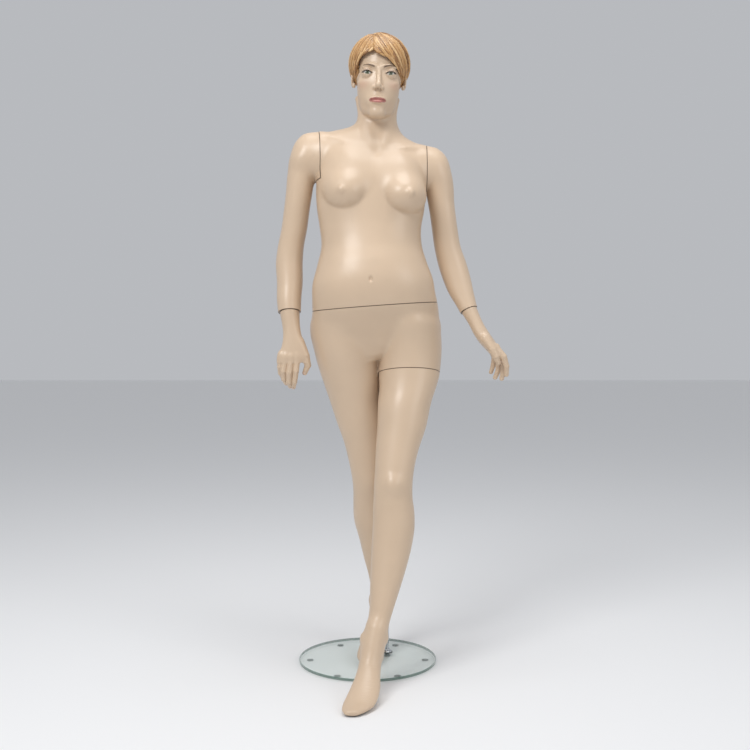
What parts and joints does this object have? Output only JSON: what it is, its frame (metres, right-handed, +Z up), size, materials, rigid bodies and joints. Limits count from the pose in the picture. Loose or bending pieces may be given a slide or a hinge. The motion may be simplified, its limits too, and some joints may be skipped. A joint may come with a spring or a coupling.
{
  "type": "full body mannequin",
  "caption": "Walking female full body display mannequin, take-apart painted moulded shells, on a round glass base with a calf rod.",
  "frame": {"origin": "centre of the glass base, on the floor under its middle bumper", "axes": "+Z up; -Y is the way the figure faces; +X is the figure's left side"},
  "size_m": [0.6372, 0.6282, 1.7377],
  "materials": {
    "skin_lacquer": "satin lacquer over moulded glass-fibre shell",
    "hair_paint": "hand-shaded satin paint over moulded locks",
    "clear_glass": "clear toughened glass, ground and polished edge",
    "clear_bumper": "clear soft bumper",
    "black_rubber": "matt",
    "polished_steel": "polished plate",
    "plated_steel": "zinc plate",
    "screw_steel": "zinc plate",
    "plywood": "bare birch plywood"
  },
  "bodies": {
    "base": {"glass_base": "clear_glass", "anti_slip_pads": "clear_bumper", "rod_gasket": "black_rubber", "rod_flange": "polished_steel", "rod_nut": "polished_steel", "support_rod": "polished_steel", "base_bolt": "screw_steel", "bolt_sleeve": "clear_bumper"},
    "lower_body": {"lower_body_shell": "skin_lacquer", "calf_socket": "plated_steel", "socket_grub_screw": "screw_steel", "waist_peg_plate": "plated_steel", "waist_peg_screws": "screw_steel", "waist_peg_board": "plywood", "left_thigh_socket_plate": "plated_steel", "left_thigh_socket_screws": "screw_steel", "left_thigh_socket_board": "plywood"},
    "upper_body": {"upper_body_shell": "skin_lacquer", "moulded_hair": "hair_paint", "waist_socket_plate": "plated_steel", "waist_socket_screws": "screw_steel", "waist_socket_board": "plywood", "right_shoulder_socket_plate": "plated_steel", "right_shoulder_socket_screws": "screw_steel", "right_shoulder_socket_board": "plywood", "left_shoulder_socket_plate": "plated_steel", "left_shoulder_socket_screws": "screw_steel", "left_shoulder_socket_board": "plywood"},
    "right_arm": {"right_arm_shell": "skin_lacquer", "right_shoulder_peg_plate": "plated_steel", "right_shoulder_peg_screws": "screw_steel", "right_shoulder_peg_board": "plywood", "right_wrist_socket_plate": "plated_steel", "right_wrist_socket_screws": "screw_steel", "right_wrist_socket_board": "plywood"},
    "left_arm": {"left_arm_shell": "skin_lacquer", "left_shoulder_peg_plate": "plated_steel", "left_shoulder_peg_screws": "screw_steel", "left_shoulder_peg_board": "plywood", "left_wrist_socket_plate": "plated_steel", "left_wrist_socket_screws": "screw_steel", "left_wrist_socket_board": "plywood"},
    "right_hand": {"right_hand": "skin_lacquer", "right_wrist_peg_plate": "plated_steel", "right_wrist_peg_screws": "screw_steel"},
    "left_hand": {"left_hand": "skin_lacquer", "left_wrist_peg_plate": "plated_steel", "left_wrist_peg_screws": "screw_steel"},
    "left_leg": {"left_leg_shell": "skin_lacquer", "left_thigh_peg_plate": "plated_steel", "left_thigh_peg_screws": "screw_steel", "left_thigh_peg_board": "plywood"}
  },
  "joints": [
    {"name": "lower_body_lift", "type": "slide", "parent": "base", "child": "lower_body", "axis": [0, 0, 1], "range_m": [0, 0.125]},
    {"name": "upper_body_lift", "type": "slide", "parent": "lower_body", "child": "upper_body", "axis": [-0.0732, 0, 0.9973], "range_m": [0, 0.06]},
    {"name": "right_shoulder_turn", "type": "hinge", "parent": "upper_body", "child": "right_arm", "pos_m": [-0.136, 0.02, 1.394], "axis": [-0.9903, -0.1392, 0], "range_deg": [-20, 75]},
    {"name": "left_shoulder_turn", "type": "hinge", "parent": "upper_body", "child": "left_arm", "pos_m": [0.162, 0.02, 1.36], "axis": [-1, 0, 0], "range_deg": [-20, 75]},
    {"name": "right_hand_turn", "type": "hinge", "parent": "right_arm", "child": "right_hand", "pos_m": [-0.2145, -0.013, 0.969], "axis": [0.0501, -0.3008, -0.9524], "range_deg": [-90, 90]},
    {"name": "left_hand_turn", "type": "hinge", "parent": "left_arm", "child": "left_hand", "pos_m": [0.279, -0.011, 0.974], "axis": [0.3805, -0.2804, -0.8812], "range_deg": [-90, 90]},
    {"name": "left_leg_turn", "type": "hinge", "parent": "lower_body", "child": "left_leg", "pos_m": [0.114, -0.024, 0.803], "axis": [0, 0.2, 0.9798], "range_deg": [0, 25]}
  ]
}
